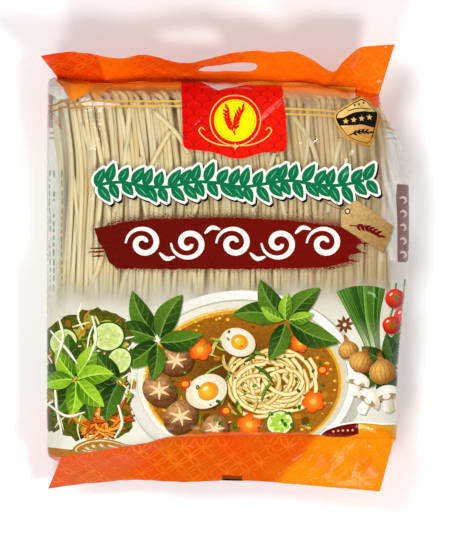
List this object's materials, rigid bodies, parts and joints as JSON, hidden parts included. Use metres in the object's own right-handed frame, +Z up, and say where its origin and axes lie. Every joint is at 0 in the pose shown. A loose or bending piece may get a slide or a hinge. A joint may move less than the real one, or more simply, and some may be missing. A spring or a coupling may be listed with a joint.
{
  "type": "pack of dried rice vermicelli",
  "caption": "Clear sealed film pack round a folded block of thick dried rice vermicelli, with an orange header with a hang slot, lying on its back.",
  "frame": {"origin": "centre of the pack's footprint, on the surface that it lies on", "axes": "+Z up out of the printed front, +Y towards the header with the hang slot, +X to the right as seen from the front"},
  "size_m": [0.1992, 0.242, 0.0513],
  "materials": {
    "pack_film": "gloss",
    "noodles": "satin"
  },
  "bodies": {
    "root": {"noodle_pack": "pack_film"}
  },
  "joints": []
}
